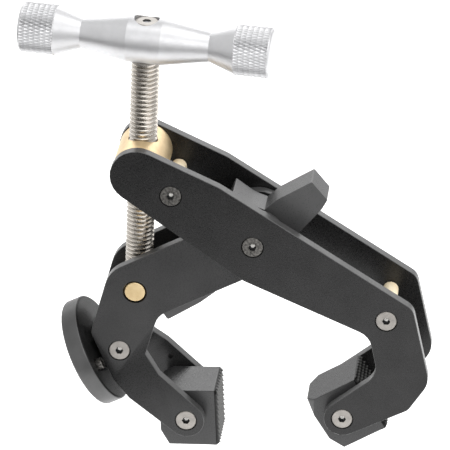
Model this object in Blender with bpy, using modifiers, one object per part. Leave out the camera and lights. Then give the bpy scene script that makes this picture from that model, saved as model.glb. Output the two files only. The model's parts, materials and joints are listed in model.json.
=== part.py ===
"""A super clamp: two arms of paired black plates, closed on a rod by a T-handled spindle.

The fixed arm's two plates carry the barrel nut and the right jaw pad. The left arm's two plates swing
between them on the main pivot and carry the left jaw pad and a round mounting platform. The spindle
screws through the nut and pushes on a brass trunnion in the left arm, which closes the jaws.

Sizes are millimetres and degrees. A place is (x, z) measured from the main pivot, seen from the front.
y is 0 at the clamp's middle and negative at the front. SIDES holds the front and the rear direction.
The origin is the axis of a gripped rod, which lies along y.
"""

import math

import bmesh
import bpy
from mathutils import Matrix, Vector

MM = 0.001
GAP = 0.3
SIDES = {"front": -1, "rear": 1}
PIVOT_FROM_GRIP = (-7.5, 73.0)

# Plates
PLATE_THICK = 4.0
MAIN_INNER_Y = 12.0
MAIN_OUTER_Y = MAIN_INNER_Y + PLATE_THICK
ARM_INNER_Y = 7.7
ARM_OUTER_Y = ARM_INNER_Y + PLATE_THICK
ARM_STEP_Y = MAIN_INNER_Y - ARM_INNER_Y
EDGE_CHAMFER = 0.5
ARC_STEP = 14.0

# Axes, all along y
MAIN_PIVOT = (0.0, 0.0)
NUT = (-44.0, 25.0)
TRUNNION = (-44.0, -25.0)
SPACER_LEFT = (-31.3, 18.2)
SPACER_RIGHT = (51.5, -26.1)
PAD_RIGHT = (37.3, -69.4)
PAD_LEFT = (-22.25, -76.05)
BOSS = (-49.2, -50.5)
PLATFORM = (-48.86, -51.11)
JIG_HOLE = (-32.0, -64.0)
JIG_HOLE_R = 0.9
JIG_HOLE_DEPTH = 1.5

# An outline is a rope pulled clockwise round pegs (x, z, radius). A negative radius is a peg outside
# the rope, which makes a hollow curve, and radius 0 is a plain corner.
MAIN_PLATE = (
    (*NUT, 10.3),
    (-18.5, 12.5, 12.0),
    (56.0, -24.1, 6.0),
    (59.65, -49.5, 9.0),
    (59.1, -60.3, 4.0),
    (*PAD_RIGHT, 7.0),
    (40.7, -46.5, -8.0),
    (38.8, -39.0, -8.0),
    (-2.7, -14.2, 0.0),
)
ARM_PLATE = (
    (*TRUNNION, 11.6),
    (*MAIN_PIVOT, 12.2),
    (-28.0, -39.5, -8.0),
    (-39.1, -50.9, 0.0),
    (-33.1, -57.3, 0.0),
    (*PAD_LEFT, 7.0),
    (-51.2, -63.3, 0.0),
    (-56.2, -43.4, 4.0),
)
ARM_BEND_START = (-39.1, -50.9)
ARM_BEND_ALONG = (0.71, -0.704)
ARM_BEND_LENGTH = 8.6
ARM_BENT_BELOW = -40.0
CENTRE_ROCKER = (
    (-8.9, 17.1, 0.4),
    (4.4, 25.1, -13.6),
    (3.1, 11.2, 0.0),
    (7.8, 15.9, 0.0),
    (20.0, 23.5, 0.5),
    (25.7, 17.2, 0.5),
    (23.8, 13.9, 0.8),
    (14.6, 5.4, 3.0),
    (-23.3, -25.2, 6.0),
    (-31.5, -37.3, 0.8),
    (-34.4, -32.6, 1.2),
    (-26.5, -12.7, -6.0),
    (-12.6, 8.0, 0.0),
)

# Centre rocker and its thrust washers
ROCKER_THICK = 12.0
ROCKER_CHAMFER = 0.7
WASHER_THICK = 1.1
PIVOT_WASHER_R = 7.6
PAD_WASHER_R = 6.0

# Countersunk hex screws
HEAD_R = 4.0
HEAD_RIM = 0.3
SHANK_R = 1.8
HEX_R = 1.45
HEX_DEPTH = 1.6
SCREW_LENGTH = 11.0
BOSS_SCREW_LENGTH = 8.6
TAPPED_R = 2.1
SCREW_SIDES = 16
HOLE_SIDES = 20

# Sleeves and spacers
PIVOT_SLEEVE_R = 5.0
SPACER_R = 3.0
SLEEVE_HALF = MAIN_INNER_Y - GAP
RUNNING = 0.25

# Barrel nut, trunnion and the pivots that they turn on
NUT_R = 10.0
PIN_R = 4.0
NUT_PIN_HALF = 13.7
NUT_POCKET_Y = 14.0
TRUNNION_R = 7.0
TRUNNION_HALF = 7.4
OPEN_PIVOT_R = 4.6

# Spindle and T-handle, along z
SPINDLE_R = 5.3
SPINDLE_TOP = 71.7
SPINDLE_SHOULDER = -17.7
SPINDLE_END = -34.2
JOURNAL_R = 3.0
GROOVE_R = 2.3
CLIP_TOP = -32.5
CLIP_BOTTOM = -33.4
CLIP_R = 5.2
CLIP_BORE = 2.6
HANDLE_Z = 73.5
HANDLE_YAW = -4.2
HANDLE_HALF = 47.0
HANDLE_KNOB_R = 9.4
HANDLE_KNOB_END = 33.5
HANDLE_NECK_R = 5.65
HANDLE_NECK = 24.0
HANDLE_BELLY_R = 8.75
HANDLE_BELLY_HALF = 6.4
HANDLE_SCREW_TOP = 81.0
HANDLE_SCREW_LENGTH = 18.0
HANDLE_SCREW_HEAD_R = 4.4
HANDLE_SCREW_SHANK_R = 2.3

# Jaw pads: u points out of the toothed face and v up it, from the pad's screw. A plane through
# PAD_CORNER's places (u, y, v) slices off the rear corner at the back, and its mirror the front one.
PAD_HALF = 10.0
PAD_FACE_U = 11.0
PAD_TOOTH = 1.3
PAD_TEETH = 9
PAD_TOP_V = 9.8
PAD_BOTTOM_V = -13.8
PAD_BACK = ((-7.7, -13.7), (-10.8, -7.7), (-10.8, 9.8))
PAD_CORNER = ((-7.1, 10.0, 9.8), (-10.8, 5.7, 9.8), (-10.8, 10.0, 3.6))
PAD_LEFT_TURN = 4.5
PAD_RIGHT_TURN = 34.0

# Mounting platform: its axis leans by PLATFORM_LEAN from x, and runs from the disc to the boss
PLATFORM_LEAN = 29.2
DISC_R = 21.2
DISC_THICK = 7.0
DISC_CHAMFER = 0.6
DISC_FROM_BOSS = 9.2
STUD_R = 3.175
STUD_OUT = 4.5
STUD_IN_BOSS = 5.4
SET_SCREW_Y = -14.8
SET_SCREW_R = 2.2
SET_SCREW_LENGTH = 6.5
SET_SCREW_OUT = 2.2
BOSS_SIZE = (14.0, 14.8, 14.9)
BOSS_CENTRE = -1.45

# Each body's empty stands on its joint's axis
BODY_AXES = {
    "main_arm": MAIN_PIVOT,
    "left_arm": MAIN_PIVOT,
    "rocker": MAIN_PIVOT,
    "nut": NUT,
    "trunnion": TRUNNION,
    "spindle": TRUNNION,
    "left_pad": PAD_LEFT,
    "right_pad": PAD_RIGHT,
}

# Colour, roughness and metallic value
MATERIALS = {
    "black_anodised": ((0.035, 0.035, 0.037), 0.42, 0.7),
    "pad_grey": ((0.09, 0.09, 0.092), 0.5, 0.6),
    "rocker_grey": ((0.3, 0.3, 0.31), 0.55, 0.5),
    "brass": ((0.62, 0.52, 0.36), 0.35, 1.0),
    "steel": ((0.55, 0.53, 0.5), 0.25, 1.0),
    "black_oxide": ((0.02, 0.02, 0.02), 0.35, 0.8),
    "satin_aluminium": ((0.72, 0.72, 0.74), 0.3, 1.0),
    "black_nylon": ((0.03, 0.03, 0.03), 0.5, 0.0),
}


def clear_scene():
    for old in list(bpy.data.objects):
        bpy.data.objects.remove(old)


def new_collection(name):
    collection = bpy.data.collections.new(name)
    bpy.context.scene.collection.children.link(collection)
    return collection


def new_material(name):
    colour, roughness, metallic = MATERIALS[name]
    material = bpy.data.materials.new(name)
    material.use_nodes = True
    shader = material.node_tree.nodes["Principled BSDF"]
    shader.inputs["Base Color"].default_value = (*colour, 1.0)
    shader.inputs["Roughness"].default_value = roughness
    shader.inputs["Metallic"].default_value = metallic
    return material


clear_scene()
PARTS = new_collection("super_clamp")
CUTTERS = new_collection("cutters")
SLOTS = {name: new_material(name) for name in MATERIALS}


def world(x, y, z):
    """A place in metres from the grip's axis, for one in millimetres from the main pivot."""
    return Vector((x + PIVOT_FROM_GRIP[0], y, z + PIVOT_FROM_GRIP[1])) * MM


def add_axis_empties():
    axes = {}
    for body, (x, z) in BODY_AXES.items():
        empty = bpy.data.objects.new(f"{body}_axis", None)
        empty.location = world(x, 0, z)
        empty.empty_display_size = 10 * MM
        PARTS.objects.link(empty)
        axes[body] = empty
    return axes


AXES = add_axis_empties()


def place_on_body(piece, body, place, turn):
    """Parents a piece to its body's axis and puts it at a place, turned by angles about x, y and z."""
    axis = AXES[body]
    piece.parent = axis
    piece.location = world(*place) - axis.location
    piece.rotation_euler = [math.radians(angle) for angle in turn]


def add_part(name, mesh, body, place, turn, material):
    part = bpy.data.objects.new(name, mesh)
    mesh.materials.append(SLOTS[material])
    PARTS.objects.link(part)
    place_on_body(part, body, place, turn)
    return part


def cut_with(part, mesh, place, turn=(0, 0, 0)):
    """Adds a hidden cutter of this mesh to the part's body, and cuts it from the part."""
    cutter = bpy.data.objects.new(f"{part.name}_cutter", mesh)
    CUTTERS.objects.link(cutter)
    body = part.parent.name.removesuffix("_axis")
    place_on_body(cutter, body, place, turn)
    cutter.hide_render = True
    cutter.display_type = "WIRE"
    boolean = part.modifiers.new("cut", "BOOLEAN")
    boolean.operation = "DIFFERENCE"
    boolean.solver = "EXACT"
    boolean.object = cutter
    return cutter


def rope(pegs):
    """The outline of a rope pulled clockwise round the pegs, as (x, z) points."""
    normals = []
    for (x0, z0, r0), (x1, z1, r1) in zip(pegs, pegs[1:] + pegs[:1]):
        along = Vector((x1 - x0, z1 - z0))
        left = Vector((-along.y, along.x)).normalized()
        lean = (r0 - r1) / along.length
        normals.append(along.normalized() * lean + left * math.sqrt(1 - lean**2))
    outline = []
    for index, (x, z, radius) in enumerate(pegs):
        if radius == 0:
            outline.append((x, z))
            continue
        start = math.atan2(normals[index - 1].y, normals[index - 1].x)
        end = math.atan2(normals[index].y, normals[index].x)
        sweep = -((start - end) % math.tau) if radius > 0 else (end - start) % math.tau
        steps = max(1, math.ceil(abs(math.degrees(sweep)) / ARC_STEP))
        for step in range(steps + 1):
            angle = start + sweep * step / steps
            outline.append((x + radius * math.cos(angle), z + radius * math.sin(angle)))
    return outline


def smooth(mesh):
    mesh.shade_smooth()
    mesh.set_sharp_from_angle(angle=math.radians(35))


def flat_mesh(name, outline, thickness):
    """A flat solid in the xz plane, centred on y = 0, from an outline in millimetres."""
    curve = bpy.data.curves.new(name, "CURVE")
    curve.dimensions = "2D"
    curve.fill_mode = "BOTH"
    curve.extrude = thickness / 2 * MM
    spline = curve.splines.new("POLY")
    spline.points.add(len(outline) - 1)
    for point, (x, z) in zip(spline.points, outline):
        point.co = (x * MM, z * MM, 0, 1)
    spline.use_cyclic_u = True
    drawn = bpy.data.objects.new(name, curve)
    PARTS.objects.link(drawn)
    evaluated = drawn.evaluated_get(bpy.context.evaluated_depsgraph_get())
    mesh = bpy.data.meshes.new_from_object(evaluated)
    bpy.data.objects.remove(drawn)
    bpy.data.curves.remove(curve)
    mesh.transform(Matrix.Rotation(math.radians(90), 4, "X"))
    solid = bmesh.new()
    solid.from_mesh(mesh)
    bmesh.ops.remove_doubles(solid, verts=solid.verts, dist=0.001 * MM)
    bmesh.ops.recalc_face_normals(solid, faces=solid.faces)
    solid.to_mesh(mesh)
    solid.free()
    smooth(mesh)
    return mesh


def chamfer(part, width):
    bevel = part.modifiers.new("chamfer", "BEVEL")
    bevel.width = width * MM
    bevel.segments = 1
    bevel.limit_method = "ANGLE"
    bevel.angle_limit = math.radians(50)
    return bevel


def profile_mesh(name, profile, closed):
    """A wire mesh of (radius, height) points in millimetres, in the xz plane."""
    mesh = bpy.data.meshes.new(name)
    wire = bmesh.new()
    points = [wire.verts.new((radius * MM, 0, height * MM)) for radius, height in profile]
    for first, second in zip(points, points[1:]):
        wire.edges.new((first, second))
    if closed:
        wire.edges.new((points[-1], points[0]))
    wire.to_mesh(mesh)
    wire.free()
    return mesh


def add_turning(piece, sides):
    """Turns a piece's profile about its own z axis."""
    screw = piece.modifiers.new("turned", "SCREW")
    screw.axis = "Z"
    screw.steps = sides
    screw.render_steps = sides
    screw.use_merge_vertices = True
    screw.merge_threshold = 0.01 * MM
    screw.use_smooth_shade = True


def add_turned(name, profile, body, place, turn, material, sides=HOLE_SIDES, closed=False):
    part = add_part(name, profile_mesh(name, profile, closed), body, place, turn, material)
    add_turning(part, sides)
    return part


def cut_turned(part, profile, place, turn, sides=HOLE_SIDES):
    cutter = cut_with(part, profile_mesh(part.name, profile, False), place, turn)
    add_turning(cutter, sides)


def drill(part, place, radius, length, turn=(90, 0, 0)):
    """Cuts a round hole of this length centred on a place. Its axis is z before the turn, so y after it."""
    mesh = bpy.data.meshes.new(part.name)
    hole = bmesh.new()
    bmesh.ops.create_cone(
        hole,
        cap_ends=True,
        segments=HOLE_SIDES,
        radius1=radius * MM,
        radius2=radius * MM,
        depth=length * MM,
    )
    hole.to_mesh(mesh)
    hole.free()
    cut_with(part, mesh, place, turn)


def rod_profile(radius, half, edge):
    return [
        (0, half),
        (radius - edge, half),
        (radius, half - edge),
        (radius, edge - half),
        (radius - edge, -half),
        (0, -half),
    ]


def ring_profile(bore, radius, half, edge):
    """A ring's closed section, with chamfered outer edges."""
    return [
        (bore, half),
        (radius - edge, half),
        (radius, half - edge),
        (radius, edge - half),
        (radius - edge, -half),
        (bore, -half),
    ]


def facing(side):
    """The turn that points a part's own z axis out of the front or out of the rear."""
    return (-90 * side, 0, 0)


def screw_profile(head, shank, length, grow=0.0, above=0.0):
    """A countersunk screw from its flat top, at height 0, to its tip. grow makes the hole for it."""
    return [
        (0, above),
        (head + grow, above),
        (head + grow, -HEAD_RIM),
        (shank + grow, -HEAD_RIM - head + shank),
        (shank + grow, -length),
        (0, -length),
    ]


def cut_screw_hole(part, at, face_y, side):
    profile = screw_profile(HEAD_R, SHANK_R, PLATE_THICK + 1, grow=GAP, above=1.0)
    cut_turned(part, profile, (at[0], side * face_y, at[1]), facing(side))


def cut_hex_socket(part, place, turn, radius, depth):
    mesh = bpy.data.meshes.new(part.name)
    socket = bmesh.new()
    bmesh.ops.create_cone(
        socket, cap_ends=True, segments=6, radius1=radius * MM, radius2=radius * MM, depth=2 * depth * MM
    )
    socket.to_mesh(mesh)
    socket.free()
    cut_with(part, mesh, place, turn)


def add_screw_pair(name, body, at, face_y, length, material):
    for side_name, side in SIDES.items():
        place = (at[0], side * face_y, at[1])
        profile = screw_profile(HEAD_R, SHANK_R, length)
        screw = add_turned(f"{name}_{side_name}", profile, body, place, facing(side), material, SCREW_SIDES)
        cut_hex_socket(screw, place, facing(side), HEX_R, HEX_DEPTH)


def add_sleeve(name, body, at, radius, material):
    profile = ring_profile(TAPPED_R, radius, SLEEVE_HALF, GAP)
    add_turned(name, profile, body, (at[0], 0, at[1]), facing(-1), material, SCREW_SIDES, True)


def add_washer_pair(name, body, at, bore, radius, inner_y, thickness):
    for side_name, side in SIDES.items():
        place = (at[0], side * (inner_y + thickness / 2), at[1])
        profile = ring_profile(bore, radius, thickness / 2, 0.15)
        add_turned(f"{name}_{side_name}", profile, body, place, facing(side), "black_nylon", SCREW_SIDES, True)


def add_main_plates():
    outline = rope(MAIN_PLATE)
    for side_name, side in SIDES.items():
        name = f"main_plate_{side_name}"
        mesh = flat_mesh(name, outline, PLATE_THICK)
        middle = side * (MAIN_INNER_Y + PLATE_THICK / 2)
        plate = add_part(name, mesh, "main_arm", (0, middle, 0), (0, 0, 0), "black_anodised")
        chamfer(plate, EDGE_CHAMFER)
        for at in (MAIN_PIVOT, SPACER_LEFT, SPACER_RIGHT, PAD_RIGHT):
            cut_screw_hole(plate, at, MAIN_OUTER_Y, side)
        drill(plate, (NUT[0], side * MAIN_INNER_Y, NUT[1]), PIN_R + GAP, 2 * (NUT_POCKET_Y - MAIN_INNER_Y))


def step_outward(mesh, side):
    """Bends an arm plate at two parallel lines, so that its lower end steps outward by ARM_STEP_Y."""
    along = Vector((ARM_BEND_ALONG[0], 0, ARM_BEND_ALONG[1])).normalized()
    start = Vector((ARM_BEND_START[0], 0, ARM_BEND_START[1])) * MM
    solid = bmesh.new()
    solid.from_mesh(mesh)
    for distance in (0, ARM_BEND_LENGTH * MM):
        geometry = solid.verts[:] + solid.edges[:] + solid.faces[:]
        bmesh.ops.bisect_plane(
            solid, geom=geometry, dist=0.001 * MM, plane_co=start + along * distance, plane_no=along
        )
    for vertex in solid.verts:
        past = (vertex.co - start).dot(along) / (ARM_BEND_LENGTH * MM)
        if vertex.co.z < ARM_BENT_BELOW * MM:
            vertex.co.y += side * ARM_STEP_Y * MM * min(max(past, 0), 1)
    solid.to_mesh(mesh)
    solid.free()


def add_arm_plates():
    outline = rope(ARM_PLATE)
    for side_name, side in SIDES.items():
        name = f"arm_plate_{side_name}"
        mesh = flat_mesh(name, outline, PLATE_THICK)
        step_outward(mesh, side)
        smooth(mesh)
        middle = side * (ARM_INNER_Y + PLATE_THICK / 2)
        plate = add_part(name, mesh, "left_arm", (0, middle, 0), (0, 0, 0), "black_anodised")
        chamfer(plate, EDGE_CHAMFER)
        cut_screw_hole(plate, BOSS, ARM_OUTER_Y, side)
        cut_screw_hole(plate, PAD_LEFT, MAIN_OUTER_Y, side)
        drill(plate, (MAIN_PIVOT[0], middle, MAIN_PIVOT[1]), PIVOT_SLEEVE_R + RUNNING, 2 * PLATE_THICK)
        drill(plate, (TRUNNION[0], middle, TRUNNION[1]), OPEN_PIVOT_R, 2 * PLATE_THICK)
        if side_name == "rear":
            drill(plate, (JIG_HOLE[0], MAIN_INNER_Y, JIG_HOLE[1]), JIG_HOLE_R, 2 * JIG_HOLE_DEPTH)


def add_centre_rocker():
    mesh = flat_mesh("centre_rocker", rope(CENTRE_ROCKER), ROCKER_THICK)
    rocker = add_part("centre_rocker", mesh, "rocker", (0, 0, 0), (0, 0, 0), "rocker_grey")
    chamfer(rocker, ROCKER_CHAMFER)
    drill(rocker, (0, 0, 0), PIVOT_SLEEVE_R + RUNNING, 2 * ROCKER_THICK)


def add_barrel_nut():
    half = SLEEVE_HALF
    profile = [
        (0, NUT_PIN_HALF),
        (PIN_R, NUT_PIN_HALF),
        (PIN_R, half),
        (NUT_R, half),
        (NUT_R, -half),
        (PIN_R, -half),
        (PIN_R, -NUT_PIN_HALF),
        (0, -NUT_PIN_HALF),
    ]
    place = (NUT[0], 0, NUT[1])
    nut = add_turned("barrel_nut", profile, "nut", place, facing(-1), "brass", 32)
    drill(nut, place, SPINDLE_R + RUNNING, 4 * NUT_R, turn=(0, 0, 0))


def add_trunnion():
    profile = [
        (0, ARM_OUTER_Y),
        (PIN_R - GAP, ARM_OUTER_Y),
        (PIN_R, ARM_OUTER_Y - GAP),
        (PIN_R, TRUNNION_HALF),
        (TRUNNION_R, TRUNNION_HALF),
        (TRUNNION_R, -TRUNNION_HALF),
        (PIN_R, -TRUNNION_HALF),
        (PIN_R, GAP - ARM_OUTER_Y),
        (PIN_R - GAP, -ARM_OUTER_Y),
        (0, -ARM_OUTER_Y),
    ]
    place = (TRUNNION[0], 0, TRUNNION[1])
    trunnion = add_turned("lower_trunnion", profile, "trunnion", place, facing(-1), "brass")
    drill(trunnion, place, JOURNAL_R + RUNNING, 4 * TRUNNION_R, turn=(0, 0, 0))


def add_spindle():
    profile = [
        (0, SPINDLE_TOP),
        (SPINDLE_R, SPINDLE_TOP),
        (SPINDLE_R, SPINDLE_SHOULDER),
        (JOURNAL_R, SPINDLE_SHOULDER),
        (JOURNAL_R, CLIP_TOP + GAP),
        (GROOVE_R, CLIP_TOP + GAP),
        (GROOVE_R, CLIP_BOTTOM - GAP),
        (JOURNAL_R, CLIP_BOTTOM - GAP),
        (JOURNAL_R, SPINDLE_END),
        (0, SPINDLE_END),
    ]
    spindle = add_turned("spindle", profile, "spindle", (NUT[0], 0, 0), (0, 0, 0), "steel")
    depth = SPINDLE_TOP - HANDLE_SCREW_TOP + HANDLE_SCREW_LENGTH + 1
    drill(spindle, (NUT[0], 0, SPINDLE_TOP), HANDLE_SCREW_SHANK_R + GAP, 2 * depth, turn=(0, 0, 0))


def add_spindle_clip():
    thickness = CLIP_TOP - CLIP_BOTTOM
    place = (NUT[0], 0, (CLIP_TOP + CLIP_BOTTOM) / 2)
    profile = ring_profile(CLIP_BORE, CLIP_R, thickness / 2, 0.1)
    clip = add_turned("spindle_clip", profile, "spindle", place, (0, 0, 0), "steel", SCREW_SIDES, True)
    mesh = bpy.data.meshes.new("clip_mouth")
    mouth = bmesh.new()
    bmesh.ops.create_cube(mouth, size=1)
    bmesh.ops.scale(mouth, vec=(CLIP_R * 2 * MM, 3.6 * MM, 3 * MM), verts=mouth.verts)
    mouth.to_mesh(mesh)
    mouth.free()
    cut_with(clip, mesh, (place[0] + CLIP_R, 0, place[2]))


def add_t_handle():
    half_profile = [
        (HANDLE_KNOB_R - 0.6, HANDLE_HALF),
        (HANDLE_KNOB_R, HANDLE_HALF - 0.6),
        (HANDLE_KNOB_R, HANDLE_KNOB_END),
        (HANDLE_NECK_R, HANDLE_NECK),
        (HANDLE_BELLY_R, HANDLE_BELLY_HALF),
    ]
    mirrored = [(radius, -height) for radius, height in reversed(half_profile)]
    profile = [(0, HANDLE_HALF), *half_profile, *mirrored, (0, -HANDLE_HALF)]
    place = (NUT[0], 0, HANDLE_Z)
    handle = add_turned("t_handle", profile, "spindle", place, (0, 90, HANDLE_YAW), "satin_aluminium", 32)
    bore = SPINDLE_TOP + GAP - HANDLE_Z + 2 * HANDLE_BELLY_R
    drill(handle, (NUT[0], 0, SPINDLE_TOP + GAP - bore / 2), SPINDLE_R + GAP, bore, turn=(0, 0, 0))
    hole = screw_profile(HANDLE_SCREW_HEAD_R, HANDLE_SCREW_SHANK_R, HANDLE_SCREW_LENGTH, GAP, 6.0)
    cut_turned(handle, hole, (NUT[0], 0, HANDLE_SCREW_TOP), (0, 0, 0))


def add_handle_screw():
    profile = screw_profile(HANDLE_SCREW_HEAD_R, HANDLE_SCREW_SHANK_R, HANDLE_SCREW_LENGTH)
    place = (NUT[0], 0, HANDLE_SCREW_TOP)
    screw = add_turned("handle_screw", profile, "spindle", place, (0, 0, 0), "steel", SCREW_SIDES)
    cut_hex_socket(screw, place, (0, 0, 0), 1.7, 2.0)


def pad_outline():
    """A jaw pad's outline, clockwise from the top of its toothed face."""
    pitch = (PAD_TOP_V - PAD_BOTTOM_V) / PAD_TEETH
    points = [(PAD_FACE_U, PAD_TOP_V)]
    for tooth in range(PAD_TEETH):
        top = PAD_TOP_V - tooth * pitch
        points.append((PAD_FACE_U + PAD_TOOTH, top - pitch / 2))
        points.append((PAD_FACE_U, top - pitch))
    points.extend(PAD_BACK)
    return points


def slice_pad_corner(mesh, side):
    """Slices a pad's top back corner off flat, on one side."""
    corner = [Vector((u, side * y, v)) * MM for u, y, v in PAD_CORNER]
    outward = (corner[1] - corner[0]).cross(corner[2] - corner[0]).normalized()
    if outward.x > 0:
        outward.negate()
    solid = bmesh.new()
    solid.from_mesh(mesh)
    geometry = solid.verts[:] + solid.edges[:] + solid.faces[:]
    cut = bmesh.ops.bisect_plane(
        solid, geom=geometry, dist=0.001 * MM, plane_co=corner[0], plane_no=outward, clear_outer=True
    )
    rim = [edge for edge in cut["geom_cut"] if isinstance(edge, bmesh.types.BMEdge)]
    bmesh.ops.edgenet_fill(solid, edges=rim)
    bmesh.ops.recalc_face_normals(solid, faces=solid.faces)
    solid.to_mesh(mesh)
    solid.free()


def add_jaw_pad(name, body, at, turn):
    mesh = flat_mesh(name, pad_outline(), 2 * PAD_HALF)
    for side in SIDES.values():
        slice_pad_corner(mesh, side)
    mesh.transform(Matrix.Rotation(math.radians(-turn), 4, "Y"))
    smooth(mesh)
    pad = add_part(name, mesh, body, (at[0], 0, at[1]), (0, 0, 0), "pad_grey")
    drill(pad, (at[0], 0, at[1]), SPACER_R + RUNNING, 3 * PAD_HALF)


def along_platform(distance, y=0.0):
    """A place on the platform's axis, this far from the middle of the boss's screws towards the jaw."""
    lean = math.radians(PLATFORM_LEAN)
    return (PLATFORM[0] + distance * math.cos(lean), y, PLATFORM[1] + distance * math.sin(lean))


# Points a part's own z axis out of the platform's face, away from the arm
PLATFORM_TURN = (0, -90 - PLATFORM_LEAN, 0)


def add_platform_disc():
    profile = ring_profile(STUD_R + GAP, DISC_R, DISC_THICK / 2, DISC_CHAMFER)
    place = along_platform(-DISC_FROM_BOSS - DISC_THICK / 2)
    disc = add_turned("platform_disc", profile, "left_arm", place, PLATFORM_TURN, "black_anodised", 48, True)
    hole = along_platform(-DISC_FROM_BOSS, SET_SCREW_Y)
    depth = SET_SCREW_LENGTH - SET_SCREW_OUT + GAP
    drill(disc, hole, SET_SCREW_R + GAP, 2 * depth, turn=PLATFORM_TURN)


def add_platform_stud():
    half = (STUD_OUT + DISC_THICK + GAP + STUD_IN_BOSS) / 2
    place = along_platform(-DISC_FROM_BOSS - DISC_THICK - STUD_OUT + half)
    add_turned(
        "platform_stud", rod_profile(STUD_R, half, 0.6), "left_arm", place, PLATFORM_TURN, "steel"
    )


def add_disc_set_screw():
    half = SET_SCREW_LENGTH / 2
    end = SET_SCREW_OUT - DISC_FROM_BOSS
    place = along_platform(end - half, SET_SCREW_Y)
    profile = rod_profile(SET_SCREW_R, half, 0.2)
    screw = add_turned(
        "disc_set_screw", profile, "left_arm", place, PLATFORM_TURN, "black_oxide", SCREW_SIDES
    )
    cut_hex_socket(screw, along_platform(end, SET_SCREW_Y), PLATFORM_TURN, 1.25, 1.5)


def add_mount_boss():
    mesh = bpy.data.meshes.new("mount_boss")
    block = bmesh.new()
    bmesh.ops.create_cube(block, size=MM)
    bmesh.ops.scale(block, vec=BOSS_SIZE, verts=block.verts)
    block.to_mesh(mesh)
    block.free()
    place = along_platform(BOSS_CENTRE)
    boss = add_part("mount_boss", mesh, "left_arm", place, PLATFORM_TURN, "black_anodised")
    chamfer(boss, EDGE_CHAMFER)
    depth = STUD_IN_BOSS + 2 * GAP
    drill(boss, along_platform(GAP - DISC_FROM_BOSS), STUD_R + GAP, 2 * depth, turn=PLATFORM_TURN)
    for side in SIDES.values():
        drill(boss, (BOSS[0], side * TRUNNION_HALF, BOSS[1]), TAPPED_R, 10.0)


def add_fixed_arm():
    add_main_plates()
    add_sleeve("main_pivot_sleeve", "main_arm", MAIN_PIVOT, PIVOT_SLEEVE_R, "steel")
    add_sleeve("spacer_left", "main_arm", SPACER_LEFT, SPACER_R, "brass")
    add_sleeve("spacer_right", "main_arm", SPACER_RIGHT, SPACER_R, "brass")
    add_sleeve("pad_sleeve_right", "main_arm", PAD_RIGHT, SPACER_R, "steel")
    add_screw_pair("screw_pivot", "main_arm", MAIN_PIVOT, MAIN_OUTER_Y, SCREW_LENGTH, "black_oxide")
    add_screw_pair("screw_spacer_left", "main_arm", SPACER_LEFT, MAIN_OUTER_Y, SCREW_LENGTH, "black_oxide")
    add_screw_pair("screw_spacer_right", "main_arm", SPACER_RIGHT, MAIN_OUTER_Y, SCREW_LENGTH, "steel")
    add_screw_pair("screw_pad_right", "main_arm", PAD_RIGHT, MAIN_OUTER_Y, SCREW_LENGTH, "steel")
    add_washer_pair(
        "pad_washer_right", "main_arm", PAD_RIGHT, SPACER_R + RUNNING, PAD_WASHER_R, PAD_HALF + GAP, 1.4
    )


def add_left_arm():
    add_arm_plates()
    add_sleeve("pad_sleeve_left", "left_arm", PAD_LEFT, SPACER_R, "steel")
    add_screw_pair("screw_pad_left", "left_arm", PAD_LEFT, MAIN_OUTER_Y, SCREW_LENGTH, "steel")
    add_screw_pair("screw_boss", "left_arm", BOSS, ARM_OUTER_Y, BOSS_SCREW_LENGTH, "steel")
    add_washer_pair(
        "pad_washer_left", "left_arm", PAD_LEFT, SPACER_R + RUNNING, PAD_WASHER_R, PAD_HALF + GAP, 1.4
    )
    add_washer_pair(
        "pivot_washer",
        "left_arm",
        MAIN_PIVOT,
        PIVOT_SLEEVE_R + RUNNING,
        PIVOT_WASHER_R,
        ROCKER_THICK / 2 + GAP,
        WASHER_THICK,
    )
    add_mount_boss()
    add_platform_disc()
    add_platform_stud()
    add_disc_set_screw()


def main():
    add_fixed_arm()
    add_left_arm()
    add_centre_rocker()
    add_barrel_nut()
    add_trunnion()
    add_spindle()
    add_spindle_clip()
    add_t_handle()
    add_handle_screw()
    add_jaw_pad("jaw_pad_left", "left_pad", PAD_LEFT, PAD_LEFT_TURN)
    add_jaw_pad("jaw_pad_right", "right_pad", PAD_RIGHT, PAD_RIGHT_TURN)


main()
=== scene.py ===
"""The looks of the super clamp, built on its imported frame. Metres, +Z up, the same frame as the CAD."""

import json
import math

import bmesh
import bpy
from mathutils import Matrix, Vector


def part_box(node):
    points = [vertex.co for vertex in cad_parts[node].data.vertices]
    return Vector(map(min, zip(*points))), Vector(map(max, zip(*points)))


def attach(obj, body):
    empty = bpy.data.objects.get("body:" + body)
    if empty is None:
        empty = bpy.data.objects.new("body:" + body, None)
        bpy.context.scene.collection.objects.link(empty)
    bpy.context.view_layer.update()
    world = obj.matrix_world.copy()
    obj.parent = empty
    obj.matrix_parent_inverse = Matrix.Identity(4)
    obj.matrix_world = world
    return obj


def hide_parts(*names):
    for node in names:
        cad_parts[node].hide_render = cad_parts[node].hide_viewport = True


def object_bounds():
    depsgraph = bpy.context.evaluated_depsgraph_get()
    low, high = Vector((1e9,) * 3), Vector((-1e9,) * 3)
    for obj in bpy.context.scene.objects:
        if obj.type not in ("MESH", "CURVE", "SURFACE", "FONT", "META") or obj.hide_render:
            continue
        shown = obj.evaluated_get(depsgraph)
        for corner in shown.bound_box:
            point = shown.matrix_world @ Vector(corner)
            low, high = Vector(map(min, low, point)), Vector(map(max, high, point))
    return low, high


MM = 0.001
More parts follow.
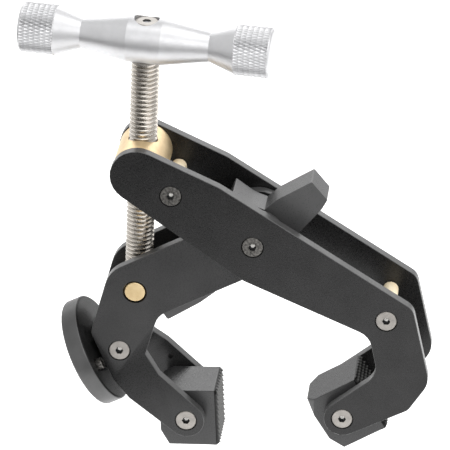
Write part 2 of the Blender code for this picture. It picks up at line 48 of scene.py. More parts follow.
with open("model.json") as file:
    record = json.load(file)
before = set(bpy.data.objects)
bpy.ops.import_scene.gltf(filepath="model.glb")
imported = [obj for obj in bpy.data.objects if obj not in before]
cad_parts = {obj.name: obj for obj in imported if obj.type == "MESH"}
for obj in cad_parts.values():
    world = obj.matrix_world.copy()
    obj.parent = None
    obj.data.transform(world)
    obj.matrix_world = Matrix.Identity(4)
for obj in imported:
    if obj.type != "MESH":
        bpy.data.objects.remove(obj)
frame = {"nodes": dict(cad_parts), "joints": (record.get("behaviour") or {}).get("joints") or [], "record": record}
CAD_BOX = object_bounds()
BODY_OF = {node: body for body, nodes in frame["record"]["behaviour"]["bodies"].items() for node in nodes}
JOINT_AT = {joint["name"]: Vector(joint["pos_m"]) for joint in frame["joints"] if "pos_m" in joint}
OUTWARD = {"front": Vector((0, -1, 0)), "rear": Vector((0, 1, 0))}

# The sharpest bend, in degrees, that is shaded smooth. The plates' is less than the arm plates' bends.
CREASE = 32
PLATE_CREASE = 19
SPINDLE_CREASE = 25
HANDLE_CREASE = 6

# How wide the rounding of the sharp edges is
SMALL_EDGE = 0.12 * MM
CLIP_EDGE = 0.08 * MM
SET_SCREW_EDGE = 0.05 * MM
DISC_EDGE = 0.25 * MM
PAD_EDGE = 0.3 * MM
ROCKER_EDGE = 0.4 * MM

# A face is a plate's cut edge, or the disc's rim, if its normal leans less than this towards the axis. These faces
# are painted lighter: painted sheen on the edges, a painted highlight on the rim.
CUT_EDGE_LEAN = 0.86
RIM_LEAN = 0.6

# A cutting shape goes this far past what it cuts, and shapes that meet overlap by the small step
PAST = 1 * MM
SMALL_STEP = 0.05 * MM

# Heights or radii this close are nearly the same. Points this close are joined, and so are faces this flat.
NEARLY_SAME = 0.01 * MM
SAME_POINT = 0.002 * MM
FLAT = math.radians(0.6)

# Screws
HEAD_R = 4.0 * MM
HEAD_BREAK = 0.28 * MM
HEAD_RIM = 0.5 * MM
SHANK_R = 1.8 * MM
SHANK_BREAK = 0.4 * MM
SCREW_SIDES = 48
SOCKET_R = 1.55 * MM
SOCKET_DEPTH = 1.5 * MM
# The socket's drill point is painted near-white as a glint, a painted highlight
SOCKET_GLINT_R = 0.85 * MM
SOCKET_GLINT_TOP = SOCKET_DEPTH + 0.2 * MM
SOCKET_GLINT_BOTTOM = SOCKET_DEPTH + 0.55 * MM

# Spindle
THREAD_PITCH = 1.75 * MM
THREAD_DEPTH = 0.85 * MM
THREAD_SIDES = 56
THREAD_START = 7.3 * MM
JOURNAL_R = 3 * MM
JOURNAL_BREAK = 0.4 * MM
JOURNAL_SIDES = 32

# Barrel nut
NUT_DRUM_HALF = 11.7 * MM
NUT_PIN_R = 4.0 * MM
NUT_BREAK = 0.3 * MM
NUT_RUNNING = 0.25 * MM
NUT_SLICES = 24
NUT_SIDES = 96
BORE_SIDES = 64

# T-handle, along its own axis
HANDLE_YAW = math.radians(-4.2)
HANDLE_HALF = 47 * MM
KNURL_START = 33.5 * MM
NECK_AT = 24 * MM
NECK_R = 5.65 * MM
BELLY_HALF = 6.4 * MM
BELLY_R = 8.75 * MM
KNURL_DEPTH = 0.4 * MM
KNURL_ROWS = 6
KNURL_SIDES = 94
KNURL_FIRST = KNURL_START + 0.4 * MM
KNURL_LAST = HANDLE_HALF - 0.9 * MM
HANDLE_HEAD_R = 4.4 * MM
HANDLE_SOCKET_R = 1.7 * MM
RECESS_R = 4.7 * MM
RECESS_DEPTH = 0.6 * MM

# Jaw pads
PAD_TURN = {"left": math.radians(4.5), "right": math.radians(34)}
PAD_HALF = 10 * MM
PAD_FACE = 10.7 * MM
PAD_TOOTH = 1.6 * MM
PAD_TOP = 9.8 * MM
PAD_BOTTOM = -13.8 * MM
TEETH_UP = 11
TEETH_ACROSS = 9
TEETH_INSET = 0.04 * MM
TEETH_BACK = 2 * MM

# Platform: the disc's own axis
DISC_TILT = math.radians(29.2)
DISC_AXIS = Vector((math.cos(DISC_TILT), 0, math.sin(DISC_TILT)))

# Camera, from the clamp's origin
CAMERA_AT = Vector((78.1, -1110.9, 619.9)) * MM
CAMERA_AZIMUTH = math.radians(5.02)
CAMERA_ELEVATION = math.radians(26.1)
CAMERA_ROLL = math.radians(2.55)
CAMERA_LENS = 264
CAMERA_SENSOR = 36
CAMERA_REACH = 50

# Stage, in metres
FLOOR_BELOW = 0.12
FLOOR_SIZE = (24.0, 24.0, 1.0)
FLOOR_GLOW = 0.55
WORLD_LEFT = 0.85
WORLD_RIGHT = 0.75
CARD_ABOVE = 0.01
CARD_AT = (-0.54, -1.29)
CARD_SIZE = (3.0, 2.0, 1.0)
CARD_TURN = math.radians(-30)

# Area lights: name, place, target, size and power in watts
LIGHTS = (
    ("key", (0.9, -0.3, 0.7), (0, 0, 0.05), (0.9, 0.9), 4),
    ("front", (0.12, -1.3, 0.9), (0, 0, 0.1), (1.0, 0.6), 4.4),
    ("top", (0.1, -0.1, 1.1), (0, 0, 0.05), (0.9, 0.5), 3),
    ("back", (-0.1, 1.0, 0.6), (0, 0, 0.05), (1.6, 0.5), 5),
)

# Surface patterns: noise scales, in blobs a metre, and depths of the bumps
CLOUDS = 90
GRAINS = 2600
GRAIN_DEPTH = 0.03 * MM
TOOL_MARKS = 9000
TOOL_MARK_DEPTH = 0.006 * MM
STAINS = 220
OXIDE_SPECKS = 1000
BLASTED_CLOUDS = 120
BLASTED_PATCHES = 700
BLASTED_GRAINS = 5200
BLASTED_DEPTH = 0.008 * MM
NYLON_CLOUDS = 500
NYLON_PATCHES = 900
NYLON_GRAINS = 3000
NYLON_DEPTH = 0.01 * MM


# ---------------------------------------------------------------- materials


class Shader:
    """A Principled material, and the few node patterns that the clamp's surfaces share."""

    def __init__(self, name, metallic, ior=1.5):
        self.material = bpy.data.materials.new(name)
        self.material.use_nodes = True
        self.tree = self.material.node_tree
        self.bsdf = self.tree.nodes["Principled BSDF"]
        self.bsdf.inputs["Metallic"].default_value = metallic
        self.bsdf.inputs["IOR"].default_value = ior

    def node(self, kind, **settings):
        made = self.tree.nodes.new(kind)
        for key, value in settings.items():
            setattr(made, key, value)
        return made

    def link(self, output, target):
        self.tree.links.new(output, target)

    def place(self):
        """The surface's own place, in metres."""
        return self.node("ShaderNodeTexCoord").outputs["Object"]

    def parts(self):
        """The surface's own place as X, Y and Z outputs."""
        made = self.node("ShaderNodeSeparateXYZ")
        self.link(self.place(), made.inputs[0])
        return made.outputs

    def math(self, operation, *values):
        made = self.node("ShaderNodeMath", operation=operation)
        for socket, value in zip(made.inputs, values):
            if isinstance(value, (int, float)):
                socket.default_value = value
            else:
                self.link(value, socket)
        return made.outputs[0]

    def round_place(self, axis):
        """(distance from the axis, place along the axis), in tool marks: what a lathe's marks follow."""
        parts = self.parts()
        squares = [self.math("MULTIPLY", parts[name], parts[name]) for name in "XYZ" if name != axis]
        radius = self.math("SQRT", self.math("ADD", *squares))
        joined = self.node("ShaderNodeCombineXYZ")
        self.link(self.math("MULTIPLY", radius, TOOL_MARKS), joined.inputs[0])
        self.link(self.math("MULTIPLY", parts[axis], TOOL_MARKS), joined.inputs[1])
        return joined.outputs[0]

    def noise(self, place, scale, detail=2.0, roughness=0.5):
        made = self.node("ShaderNodeTexNoise")
        made.inputs["Scale"].default_value = scale
        made.inputs["Detail"].default_value = detail
        made.inputs["Roughness"].default_value = roughness
        self.link(place, made.inputs["Vector"])
        return made.outputs["Fac"]

    def ramp(self, factor, low, high, start=0.3, end=0.7):
        """A colour or a grey that runs from low to high as factor goes from start to end."""
        made = self.node("ShaderNodeValToRGB")
        for element, place, value in zip(made.color_ramp.elements, (start, end), (low, high)):
            element.position = place
            element.color = (*value, 1) if isinstance(value, tuple) else (value, value, value, 1)
        self.link(factor, made.inputs["Fac"])
        return made.outputs["Color"]

    def colour(self, output):
        self.link(output, self.bsdf.inputs["Base Color"])

    def roughness(self, output):
        self.link(output, self.bsdf.inputs["Roughness"])

    def bump(self, height, depth):
        """Bumps as deep as depth, in metres, from a height output."""
        made = self.node("ShaderNodeBump")
        made.inputs["Strength"].default_value = 1.0
        made.inputs["Distance"].default_value = depth
        self.link(height, made.inputs["Height"])
        self.link(made.outputs["Normal"], self.bsdf.inputs["Normal"])


def anodised(name, dark, light, rough, metallic=0.25, ior=1.5):
    """Bead-blasted and anodised aluminium: grains that shine more or less, and faint clouds in the dye."""
    made = Shader(name, metallic, ior)
    place = made.place()
    clouds = made.noise(place, CLOUDS, detail=4)
    grains = made.noise(place, GRAINS, detail=3, roughness=0.65)
    made.colour(made.ramp(clouds, dark, light))
    made.roughness(made.ramp(grains, rough - 0.08, rough + 0.08, 0.35, 0.65))
    made.bump(grains, GRAIN_DEPTH)
    return made.material


def turned_metal(name, dark, light, rough, axis, metallic=1.0, stain=STAINS):
    """Metal from the lathe: rings of tool marks round its axis, and stains."""
    made = Shader(name, metallic)
    rings = made.noise(made.round_place(axis), 1.0, detail=2)
    stains = made.noise(made.place(), stain, detail=5, roughness=0.6)
    made.colour(made.ramp(stains, dark, light))
    made.roughness(made.ramp(rings, rough - 0.06, rough + 0.08))
    made.bump(rings, TOOL_MARK_DEPTH)
    return made.material


def satin_aluminium():
    """The handle's blasted, clear-anodised aluminium."""
    made = Shader("satin_aluminium_look", 1.0)
    place = made.place()
    clouds = made.noise(place, BLASTED_CLOUDS, detail=3)
    made.colour(made.ramp(clouds, (0.57, 0.57, 0.58), (0.65, 0.65, 0.66)))
    made.roughness(made.ramp(made.noise(place, BLASTED_PATCHES, detail=4), 0.40, 0.50))
    made.bump(made.noise(place, BLASTED_GRAINS, detail=2, roughness=0.7), BLASTED_DEPTH)
    return made.material


def teeth_wear_and_painted_shade():
    """The pads' teeth: black in the gaps, which is painted shade, and worn towards bare metal at the tips."""
    made = Shader("teeth_wear_and_painted_shade_look", 0.7)
    share = made.math("DIVIDE", made.math("SUBTRACT", made.parts()["X"], PAD_FACE), PAD_TOOTH)
    # Black at the foot of the teeth is painted shade, the lighter tips are wear
    made.colour(made.ramp(share, 0.004, (0.19, 0.19, 0.185), 0.4, 0.8))
    made.bsdf.inputs["Roughness"].default_value = 0.3
    return made.material


def black_nylon():
    """The washers' moulded plastic."""
    made = Shader("black_nylon_look", 0.0)
    place = made.place()
    made.colour(made.ramp(made.noise(place, NYLON_CLOUDS), 0.02, 0.032))
    made.roughness(made.ramp(made.noise(place, NYLON_PATCHES), 0.65, 0.8))
    made.bump(made.noise(place, NYLON_GRAINS), NYLON_DEPTH)
    return made.material


LOOKS = {
    "black_anodised": anodised("black_anodised_look", (0.008, 0.008, 0.0081), (0.014, 0.0138, 0.014), 0.28),
    "arm_black": anodised("arm_black_look", (0.018, 0.018, 0.0182), (0.026, 0.0258, 0.026), 0.30),
    # The plates' cut edges: a lighter copy of the black anodising, painted sheen for the light from above
    "painted_edge_sheen": anodised("painted_edge_sheen_look", 0.06, 0.09, 0.36, metallic=0.3),
    "disc_black": anodised("disc_black_look", 0.010, 0.016, 0.34, ior=1.2),
    # The disc's rim: lighter than the disc, a painted highlight
    "disc_rim_painted_highlight": anodised("disc_rim_painted_highlight_look", 0.07, 0.10, 0.38, metallic=0.5),
    "pad_grey": anodised("pad_grey_look", (0.028, 0.028, 0.0284), (0.038, 0.038, 0.0385), 0.32, 0.0),
    "teeth_wear_and_painted_shade": teeth_wear_and_painted_shade(),
    "rocker_grey": anodised("rocker_grey_look", (0.055, 0.055, 0.0555), (0.075, 0.075, 0.0755), 0.34, 0.1),
    "brass_y": turned_metal("brass_cross_look", (0.76, 0.57, 0.33), (0.90, 0.72, 0.45), 0.42, "Y", 0.8),
    "brass_pin": turned_metal("brass_pin_look", (0.60, 0.45, 0.24), (0.76, 0.60, 0.36), 0.36, "Y"),
    # The spacers' brass: dull, and paler than the other brass as painted light that brightens them in the shade
    # between the plates
    "dull_brass_painted_light": turned_metal("dull_brass_painted_light_look", (0.88, 0.72, 0.48), (0.98, 0.86, 0.64), 0.55, "Y", 0.1),
    "steel_y": turned_metal("steel_cross_look", (0.50, 0.48, 0.45), (0.64, 0.62, 0.59), 0.28, "Y"),
    "steel_z": turned_metal("steel_up_look", (0.46, 0.43, 0.385), (0.61, 0.57, 0.52), 0.24, "Z"),
    "black_oxide": turned_metal("black_oxide_look", 0.01, (0.26, 0.25, 0.235), 0.34, "Z", stain=OXIDE_SPECKS),
    # The sockets' drill points: near-white, a painted glint
    "socket_painted_glint": turned_metal("socket_painted_glint_look", (0.90, 0.88, 0.84), (0.98, 0.96, 0.92), 0.5, "Z", 0.0),
    "screw_steel": turned_metal("screw_steel_look", (0.26, 0.245, 0.23), (0.38, 0.36, 0.335), 0.36, "Z"),
    "satin_aluminium": satin_aluminium(),
    "black_nylon": black_nylon(),
}


# ---------------------------------------------------------------- mesh tools


def shade(piece, degrees=CREASE):
    """Smooth shading up to an angle, with the large faces' own normals kept."""
    piece.data.shade_smooth()
    piece.data.set_sharp_from_angle(angle=math.radians(degrees))
    weighted = piece.modifiers.new("normals", "WEIGHTED_NORMAL")
    weighted.mode = "FACE_AREA"
    weighted.weight = 100
    weighted.keep_sharp = True
    bake_modifiers(piece)


def add_piece(name, shape, looks, at=Vector((0, 0, 0))):
    mesh = bpy.data.meshes.new(name)
    shape.to_mesh(mesh)
    shape.free()
    for look in looks:
        mesh.materials.append(LOOKS[look])
    piece = bpy.data.objects.new(name, mesh)
    piece.location = at
    bpy.context.scene.collection.objects.link(piece)
    return piece


def stand_for(piece, node):
    """The piece takes the CAD node's place and joins its body; the CAD node is hidden."""
    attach(piece, BODY_OF[node])
    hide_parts(node)


def join_flat_faces(shape):
    bmesh.ops.dissolve_limit(
        shape,
        angle_limit=FLAT,
        verts=shape.verts,
        edges=shape.edges,
        use_dissolve_boundaries=False,
    )


def copied_shape(node, at):
    """The CAD node's shape about a centre, with flat faces whole again."""
    shape = bmesh.new()
    shape.from_mesh(frame["nodes"][node].data)
    bmesh.ops.remove_doubles(shape, verts=shape.verts, dist=SAME_POINT)
    bmesh.ops.translate(shape, verts=shape.verts, vec=-at)
    join_flat_faces(shape)
    return shape


def cut_off(shape, at, outward):
    """Cuts off what is outward of a plane through a point, and closes the cut."""
    geometry = shape.verts[:] + shape.edges[:] + shape.faces[:]
    cut = bmesh.ops.bisect_plane(
        shape, geom=geometry, dist=1e-7, plane_co=at, plane_no=outward, clear_outer=True
    )
    rim = [item for item in cut["geom_cut"] if isinstance(item, bmesh.types.BMEdge)]
    bmesh.ops.edgeloop_fill(shape, edges=rim)


def bake_modifiers(piece):
    """Replaces the piece's mesh by what its modifiers make."""
    bpy.context.view_layer.update()
    evaluated = piece.evaluated_get(bpy.context.evaluated_depsgraph_get())
    made = bpy.data.meshes.new_from_object(evaluated)
    old = piece.data
    piece.modifiers.clear()
    piece.data = made
    bpy.data.meshes.remove(old)


def soften_edges(piece, width):
    """Rounds the sharp edges, and keeps the flat faces flat."""
    bevel = piece.modifiers.new("soft_edges", "BEVEL")
    bevel.width = width
    bevel.segments = 2
    bevel.limit_method = "ANGLE"
    bevel.angle_limit = math.radians(CREASE)
    bevel.use_clamp_overlap = True
    bake_modifiers(piece)


def combine(piece, other, operation):
    """Cuts the other shape from the piece, or joins it on, and removes the other."""
    boolean = piece.modifiers.new("combine", "BOOLEAN")
    boolean.operation = operation
    boolean.solver = "EXACT"
    boolean.object = other
    bake_modifiers(piece)
    bpy.data.objects.remove(other)


def aim(piece, at, direction):
    """Moves the piece to a place, with its own +Z along a direction."""
    turn = Vector((0, 0, 1)).rotation_difference(direction).to_matrix().to_4x4()
    piece.matrix_world = Matrix.Translation(at) @ turn


def middle_of(node):
    low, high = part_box(node)
    return (low + high) / 2


def even_steps(first, last, count):
    """The count + 1 places that share the way from first to last equally."""
    return [first + (last - first) * step / count for step in range(count + 1)]


def add_skin(shape, *corners):
    """A face between four corners, folded inward where they don't lie on one smooth surface."""
    reach = [math.hypot(corner.co.x, corner.co.y) for corner in corners]
    rise = reach[0] + reach[2] - reach[1] - reach[3]
    if abs(rise) < NEARLY_SAME:
        shape.faces.new(corners)
        return
    first, second, third, fourth = corners if rise < 0 else corners[1:] + corners[:1]
    shape.faces.new((first, second, third))
    shape.faces.new((first, third, fourth))


def lathe_shape(rows, sides):
    """A closed turned shape about z, from (height, radius) rows. A radius may be a function of the side."""
    shape = bmesh.new()
    rings = []
    for height, radius in rows:
        ring = []
        for side in range(sides):
            angle = math.tau * side / sides
            reach = radius(side) if callable(radius) else radius
            ring.append(shape.verts.new((reach * math.cos(angle), reach * math.sin(angle), height)))
        rings.append(ring)
    for lower, upper in zip(rings, rings[1:]):
        for side in range(sides):
            after = (side + 1) % sides
            add_skin(shape, lower[side], lower[after], upper[after], upper[side])
    shape.faces.new(list(reversed(rings[0])))
    shape.faces.new(rings[-1])
    bmesh.ops.recalc_face_normals(shape, faces=shape.faces)
    return shape


# ---------------------------------------------------------------- pieces


def refine(node, looks, at=Vector((0, 0, 0)), edge=SMALL_EDGE, crease=CREASE, paint=None):
    """The CAD shape with small rounded edges and real surfaces. Paint says which faces have the second one."""
    piece = add_piece(f"{node}_look", copied_shape(node, at), looks, at)
    soften_edges(piece, edge)
    if paint:
        paint(piece)
    shade(piece, crease)
    stand_for(piece, node)


def paint_edge_sheen(piece):
    """Puts the second material, a lighter grey that is painted sheen for the light the edges catch from above, on
    a plate's outer cut edges and their chamfers, but not in its holes.
    """
    shape = bmesh.new()
    shape.from_mesh(piece.data)
    waiting = {face for face in shape.faces if abs(face.normal.y) < CUT_EDGE_LEAN}
    bands = []
    while waiting:
        band = [waiting.pop()]
        for face in band:
            beside = {other for edge in face.edges for other in edge.link_faces} & waiting
            waiting -= beside
            band.extend(beside)
        bands.append(band)
    for face in max(bands, key=lambda band: sum(face.calc_area() for face in band)):
        face.material_index = 1
    shape.to_mesh(piece.data)
    shape.free()


def add_plates():
    # The plates' cut edges get the painted sheen
    for kind, look in (("main", "black_anodised"), ("arm", "arm_black")):
        for side in OUTWARD:
            refine(f"{kind}_plate_{side}", (look, "painted_edge_sheen"), crease=PLATE_CREASE, paint=paint_edge_sheen)


def add_screw(node, outward, look, head=HEAD_R, socket=SOCKET_R):
    """A countersunk hex screw, about its own axis, with its flat head at the CAD screw's face. Its socket has a
    painted glint at the bottom and black walls, painted shade.
    """
    low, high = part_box(node)
    length = abs(outward.dot(high - low))
    face = middle_of(node) + outward * length / 2
    body = (
        (0, head - HEAD_BREAK),
        (-HEAD_BREAK, head),
        (-HEAD_RIM, head),
        (-HEAD_RIM - head + SHANK_R, SHANK_R),
        (-length + SHANK_BREAK, SHANK_R),
        (-length, SHANK_R - SHANK_BREAK),
    )
    socket_hole = (
        (-SOCKET_GLINT_BOTTOM, SMALL_STEP),
        (-SOCKET_GLINT_TOP, SOCKET_GLINT_R),
        (-SOCKET_DEPTH, socket),
        (SMALL_STEP, socket),
        (PAST, socket + PAST),
    )
    # The socket's drill point gets the painted glint, and its walls black_anodised as painted shade in the hole
    looks = (look, "socket_painted_glint", "black_anodised")
    screw = add_piece(f"{node}_look", lathe_shape(body, SCREW_SIDES), looks, face)
    hollow = lathe_shape(socket_hole, 6)
    for side in hollow.faces:
        side.material_index = 1 if side.calc_center_median().z < -SOCKET_GLINT_TOP else 2
    combine(screw, add_piece("socket", hollow, looks, face), "DIFFERENCE")
    aim(screw, face, outward)
    shade(screw)
    stand_for(screw, node)


def add_screws():
    looks = {
        "pivot": "black_oxide",
        "spacer_left": "black_oxide",
        "spacer_right": "screw_steel",
        "pad_right": "screw_steel",
        "pad_left": "screw_steel",
        "boss": "screw_steel",
    }
    for name, look in looks.items():
        for side, outward in OUTWARD.items():
            add_screw(f"screw_{name}_{side}", outward, look)
    add_screw("handle_screw", Vector((0, 0, 1)), "screw_steel", HANDLE_HEAD_R, HANDLE_SOCKET_R)


def add_nut():
    """The brass cross nut: a smooth drum and two pins, with the spindle's threaded hole through it."""
    low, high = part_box("barrel_nut")
    centre = JOINT_AT["nut_tilt"]
    outer = (high.z - low.z) / 2
    half = (high.y - low.y) / 2
    spindle_low, spindle_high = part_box("spindle")
    hole = (spindle_high.x - spindle_low.x) / 2 + NUT_RUNNING
    pin_end = [
        (half, NUT_PIN_R - NUT_BREAK),
        (half - NUT_BREAK, NUT_PIN_R),
        (NUT_DRUM_HALF, NUT_PIN_R),
        (NUT_DRUM_HALF - NEARLY_SAME, outer - NUT_BREAK),
    ]
    slices = even_steps(-NUT_DRUM_HALF, NUT_DRUM_HALF, NUT_SLICES)[1:-1]
    rows = [(-height, radius) for height, radius in pin_end]
    rows += [(height, outer) for height in slices]
    rows += pin_end[::-1]
    nut = add_piece("barrel_nut_look", lathe_shape(rows, NUT_SIDES), ("brass_y",), centre)
    aim(nut, centre, OUTWARD["front"])
    bore = lathe_shape(((-2 * outer, hole), (2 * outer, hole)), BORE_SIDES)
    combine(nut, add_piece("bore", bore, ("brass_y",), centre), "DIFFERENCE")
    shade(nut)
    stand_for(nut, "barrel_nut")


def add_turned_parts():
    """The parts turned about y, each about its own axis so that the tool marks are round it."""
    refine("lower_trunnion", ("brass_pin",), JOINT_AT["handle_turn"])
    # The spacers get the paler brass, painted light for the shade between the plates
    for node in ("spacer_left", "spacer_right"):
        refine(node, ("dull_brass_painted_light",), middle_of(node))
    for node in ("main_pivot_sleeve", "pad_sleeve_left", "pad_sleeve_right"):
        refine(node, ("steel_y",), middle_of(node))
    for name in ("pad_washer_left", "pad_washer_right", "pivot_washer"):
        for side in OUTWARD:
            refine(f"{name}_{side}", ("black_nylon",))
    refine("spindle_clip", ("steel_z",), JOINT_AT["handle_turn"], CLIP_EDGE)


def thread_shape(bottom, top, crest):
    """A rod with a real helical thread between two heights, cut square at both."""
    root = crest - THREAD_DEPTH
    profile = ((0.0, root), (0.16, root), (0.44, crest), (0.60, crest))
    turns = math.ceil((top - bottom) / THREAD_PITCH) + 2
    shape = bmesh.new()
    columns = []
    for side in range(THREAD_SIDES):
        lead = side / THREAD_SIDES
        angle = math.tau * lead
        column = []
        for turn in range(turns):
            for share, radius in profile:
                height = bottom + (turn + share + lead - 1) * THREAD_PITCH
                column.append(shape.verts.new((radius * math.cos(angle), radius * math.sin(angle), height)))
        columns.append(column)
    for side, column in enumerate(columns):
        # The last column meets the first one turn further up.
        ahead = columns[side + 1] if side < THREAD_SIDES - 1 else columns[0][len(profile) :]
        for corners in zip(column, ahead, ahead[1:], column[1:]):
            shape.faces.new(corners)
    cut_off(shape, (0, 0, bottom), (0, 0, -1))
    cut_off(shape, (0, 0, top), (0, 0, 1))
    bmesh.ops.recalc_face_normals(shape, faces=shape.faces)
    return shape


def add_spindle():
    """The threaded rod, with the plain end that turns in the lower cross pin."""
    low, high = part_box("spindle")
    axis = JOINT_AT["handle_turn"]
    crest = (high.x - low.x) / 2
    shoulder = axis.z + THREAD_START
    at = Vector((axis.x, axis.y, 0))
    plain_end = (
        (low.z, JOURNAL_R - JOURNAL_BREAK),
        (low.z + JOURNAL_BREAK, JOURNAL_R),
        (shoulder + 2 * PAST, JOURNAL_R),
    )
    spindle = add_piece("spindle_look", thread_shape(shoulder, high.z, crest), ("steel_z",), at)
    journal = add_piece("journal", lathe_shape(plain_end, JOURNAL_SIDES), ("steel_z",), at)
    combine(spindle, journal, "UNION")
    shade(spindle, SPINDLE_CREASE)
    stand_for(spindle, "spindle")


def knurl_radius(row, outer):
    """Pyramids in a diamond pattern: every other corner of the grid is a tip."""
    return lambda side: outer - (KNURL_DEPTH if (row + side) % 2 else 0)


def knurled_end(outer):
    """The handle's knurled rows from its middle side outward, with a chamfer at each edge."""
    heights = even_steps(KNURL_FIRST, KNURL_LAST, KNURL_ROWS)
    return [
        (KNURL_START, outer - KNURL_DEPTH),
        *((height, knurl_radius(row, outer)) for row, height in enumerate(heights)),
        (HANDLE_HALF - 0.7 * MM, outer - KNURL_DEPTH),
        (HANDLE_HALF - 0.35 * MM, outer - 0.55 * MM),
        (HANDLE_HALF, outer - 1.1 * MM),
    ]


def add_handle():
    """The T-handle: two cones from its middle, knurled ends, and a recess for its screw's head."""
    low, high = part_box("t_handle")
    centre = middle_of("t_handle")
    outer = (high.z - low.z) / 2
    half = [(BELLY_HALF, BELLY_R), (NECK_AT, NECK_R), *knurled_end(outer)]
    rows = [(-height, radius) for height, radius in reversed(half)] + half
    handle = add_piece("t_handle_look", lathe_shape(rows, KNURL_SIDES), ("satin_aluminium",), centre)
    aim(handle, centre, Vector((math.cos(HANDLE_YAW), math.sin(HANDLE_YAW), 0)))
    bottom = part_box("handle_screw")[1].z - RECESS_DEPTH
    recess = lathe_shape(((bottom, RECESS_R), (high.z + PAST, RECESS_R)), SCREW_SIDES)
    at = Vector((JOINT_AT["handle_turn"].x, 0, 0))
    combine(handle, add_piece("recess", recess, (), at), "DIFFERENCE")
    shade(handle, HANDLE_CREASE)
    stand_for(handle, "t_handle")


def teeth_shape():
    """The toothed face: rows of pyramids on a slab, in the pad's own directions."""
    ups = even_steps(PAD_BOTTOM + TEETH_INSET, PAD_TOP - TEETH_INSET, TEETH_UP)
    acrosses = even_steps(-PAD_HALF + TEETH_INSET, PAD_HALF - TEETH_INSET, TEETH_ACROSS)
    shape = bmesh.new()
    grid = [[shape.verts.new((PAD_FACE, across, up)) for across in acrosses] for up in ups]
    back = [[shape.verts.new((PAD_FACE - TEETH_BACK, across, up)) for across in acrosses] for up in ups]
    for row in range(TEETH_UP):
        for column in range(TEETH_ACROSS):
            around = ((row, column), (row, column + 1), (row + 1, column + 1), (row + 1, column))
            corners = [grid[up][across] for up, across in around]
            middle = sum((corner.co for corner in corners), Vector()) / 4
            tip = shape.verts.new(middle + Vector((PAD_TOOTH, 0, 0)))
            for first, second in zip(corners, corners[1:] + corners[:1]):
                shape.faces.new((first, second, tip)).material_index = 1
            shape.faces.new([back[up][across] for up, across in reversed(around)])
    edges = [edge for edge in shape.edges if edge.is_boundary]
    bmesh.ops.bridge_loops(shape, edges=edges)
    bmesh.ops.recalc_face_normals(shape, faces=shape.faces)
    return shape


def add_pad(side):
    """A jaw pad: the CAD block cut off behind its ridges, with the toothed face in their place."""
    node = f"jaw_pad_{side}"
    centre = JOINT_AT[f"pad_{side}_spin"]
    turn = Matrix.Rotation(-PAD_TURN[side], 4, "Y")
    shape = copied_shape(node, centre)
    bmesh.ops.transform(shape, matrix=turn.inverted(), verts=shape.verts)
    cut_off(shape, (PAD_FACE - SMALL_STEP, 0, 0), (1, 0, 0))
    join_flat_faces(shape)
    looks = ("pad_grey", "teeth_wear_and_painted_shade")
    pad = add_piece(f"{node}_look", shape, looks)
    soften_edges(pad, PAD_EDGE)
    combine(pad, add_piece("teeth", teeth_shape(), looks), "UNION")
    shade(pad)
    pad.matrix_world = Matrix.Translation(centre) @ turn
    stand_for(pad, node)


def paint_rim_highlight(piece):
    """Puts the second material round the disc's rim: a lighter grey, which is a painted highlight."""
    for face in piece.data.polygons:
        if abs(face.normal.dot(DISC_AXIS)) < RIM_LEAN:
            face.material_index = 1


def add_platform():
    refine("platform_disc", ("disc_black", "disc_rim_painted_highlight"), edge=DISC_EDGE, paint=paint_rim_highlight)
    refine("mount_boss", ("black_anodised",))
    refine("platform_stud", ("steel_z",))
    refine("disc_set_screw", ("black_oxide",), edge=SET_SCREW_EDGE)


# ---------------------------------------------------------------- stage


def add_camera():
    data = bpy.data.cameras.new("camera")
    data.lens = CAMERA_LENS
    data.sensor_width = CAMERA_SENSOR
    data.clip_end = CAMERA_REACH
    camera = bpy.data.objects.new("camera", data)
    bpy.context.scene.collection.objects.link(camera)
    level = Vector((math.cos(CAMERA_AZIMUTH), math.sin(CAMERA_AZIMUTH), 0))
    ahead = Vector((-level.y * math.cos(CAMERA_ELEVATION), level.x * math.cos(CAMERA_ELEVATION), 0))
    ahead.z = -math.sin(CAMERA_ELEVATION)
    upright = level.cross(ahead)
    right = level * math.cos(CAMERA_ROLL) + upright * math.sin(CAMERA_ROLL)
    up = upright * math.cos(CAMERA_ROLL) - level * math.sin(CAMERA_ROLL)
    camera.matrix_world = Matrix.Translation(CAMERA_AT) @ Matrix((right, up, -ahead)).transposed().to_4x4()
    bpy.context.scene.camera = camera


def add_light(name, place, target, size, power):
    data = bpy.data.lights.new(name, "AREA")
    data.shape = "RECTANGLE"
    data.size, data.size_y = size
    data.energy = power
    light = bpy.data.objects.new(name, data)
    light.location = place
    light.rotation_euler = (Vector(target) - Vector(place)).to_track_quat("-Z", "Y").to_euler()
    light.visible_camera = False
    bpy.context.scene.collection.objects.link(light)


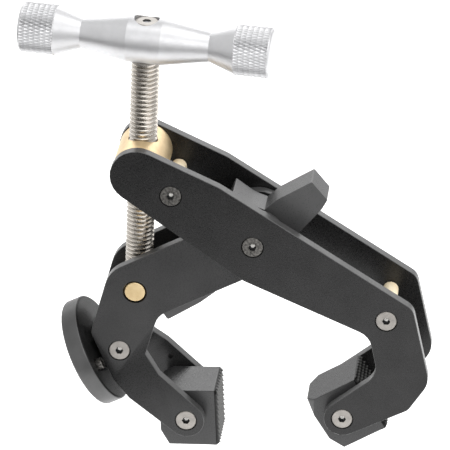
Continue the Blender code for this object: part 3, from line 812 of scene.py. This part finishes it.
def add_sheet(name, at, size, look, grey, rough, glow=0.0):
    """A flat sheet of the studio, with one plain surface that may glow."""
    shape = bmesh.new()
    bmesh.ops.create_grid(shape, x_segments=1, y_segments=1, size=0.5)
    sheet = add_piece(name, shape, (), at)
    sheet.scale = size
    material = bpy.data.materials.new(look)
    material.use_nodes = True
    shader = material.node_tree.nodes["Principled BSDF"]
    shader.inputs["Base Color"].default_value = (grey, grey, grey, 1)
    shader.inputs["Roughness"].default_value = rough
    shader.inputs["Emission Color"].default_value = (1, 1, 1, 1)
    shader.inputs["Emission Strength"].default_value = glow
    sheet.data.materials.append(material)
    return sheet


def add_stage():
    """A pale floor that glows faintly, and a dark card on it in front, which only reflections see."""
    floor_height = CAD_BOX[0].z - FLOOR_BELOW
    add_sheet("floor", (0, 0, floor_height), FLOOR_SIZE, "pale_floor", 0.92, 0.9, FLOOR_GLOW)
    card = add_sheet("dark_card", (*CARD_AT, floor_height + CARD_ABOVE), CARD_SIZE, "dark_card", 0.01, 1.0)
    card.rotation_euler.z = CARD_TURN
    card.visible_camera = False
    card.visible_diffuse = False
    card.visible_shadow = False


def add_lighting():
    """A white world, a little brighter on the left, and the area lights."""
    world = bpy.data.worlds.new("studio")
    world.use_nodes = True
    tree = world.node_tree
    background = tree.nodes["Background"]
    where = tree.nodes.new("ShaderNodeTexCoord")
    parts = tree.nodes.new("ShaderNodeSeparateXYZ")
    fade = tree.nodes.new("ShaderNodeMapRange")
    fade.inputs["From Min"].default_value = -1
    fade.inputs["To Min"].default_value = WORLD_LEFT
    fade.inputs["To Max"].default_value = WORLD_RIGHT
    tree.links.new(where.outputs["Generated"], parts.inputs[0])
    tree.links.new(parts.outputs["X"], fade.inputs["Value"])
    tree.links.new(fade.outputs[0], background.inputs["Strength"])
    background.inputs["Color"].default_value = (1, 1, 1, 1)
    bpy.context.scene.world = world
    for light in LIGHTS:
        add_light(*light)
    bpy.context.scene.view_settings.view_transform = "Standard"


def main():
    add_camera()
    add_plates()
    add_screws()
    add_nut()
    add_turned_parts()
    add_spindle()
    add_handle()
    add_pad("left")
    add_pad("right")
    refine("centre_rocker", ("rocker_grey",), edge=ROCKER_EDGE)
    add_platform()
    add_stage()
    add_lighting()


main()
